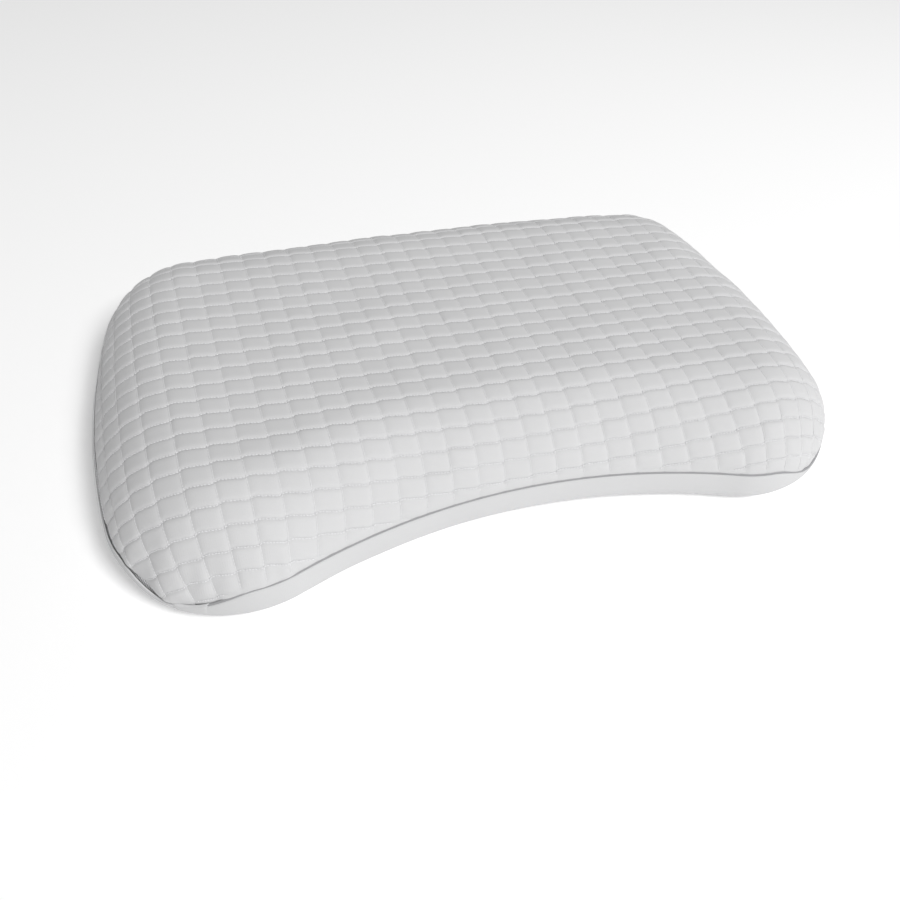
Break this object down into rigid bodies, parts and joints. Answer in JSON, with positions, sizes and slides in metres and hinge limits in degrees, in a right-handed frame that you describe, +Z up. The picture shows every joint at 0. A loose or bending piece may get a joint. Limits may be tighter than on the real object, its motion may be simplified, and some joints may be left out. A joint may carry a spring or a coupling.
{
  "type": "bed pillow",
  "caption": "Contoured memory-foam bed pillow with a hollowed front edge, in a quilted cover that unzips along its back and one end.",
  "frame": {"origin": "middle of the plan outline, on the surface the pillow lies on", "axes": "+Z up, +X along the length, hollowed front edge towards -Y"},
  "size_m": [0.6422, 0.3918, 0.087],
  "materials": {
    "quilted_knit": "matte",
    "plain_knit": "matte",
    "wadding": "matte",
    "backing_cloth": "matte",
    "liner_jersey": "matte",
    "memory_foam": "matte",
    "stitch_thread": "satin",
    "welt_cloth": "matte",
    "zip_tape": "matte",
    "zip_coil": "satin",
    "zip_metal": "satin",
    "label_cloth": "matte"
  },
  "bodies": {
    "cushion": {"foam_core": "memory_foam", "inner_liner_top": "liner_jersey", "inner_liner_bottom": "liner_jersey", "top_face_fabric": "quilted_knit", "top_wadding": "wadding", "top_backing": "backing_cloth", "bottom_panel": "plain_knit", "quilting_thread_lengthwise": "stitch_thread", "quilting_thread_crosswise": "stitch_thread", "seam_welt": "welt_cloth", "zipper_tape_upper": "zip_tape", "zipper_tape_lower": "zip_tape", "zipper_coil_upper": "zip_coil", "zipper_coil_lower": "zip_coil", "zipper_top_stop": "zip_metal", "zipper_bottom_stop": "zip_metal", "zipper_stitching": "stitch_thread", "zipper_garage": "plain_knit", "care_label": "label_cloth"},
    "slider": {"zipper_slider": "zip_metal"},
    "pull": {"zipper_pull": "zip_metal"}
  },
  "joints": [
    {"name": "slider_travel", "type": "hinge", "parent": "cushion", "child": "slider", "pos_m": [0, -2.74139, 0.032], "axis": [0, 0, 1], "range_deg": [0, 8.19]},
    {"name": "pull_swing", "type": "hinge", "parent": "slider", "child": "pull", "pos_m": [0.21936, 0.18626, 0.03272], "axis": [0.0255, 0.3407, -0.9398], "range_deg": [0, 170]}
  ]
}
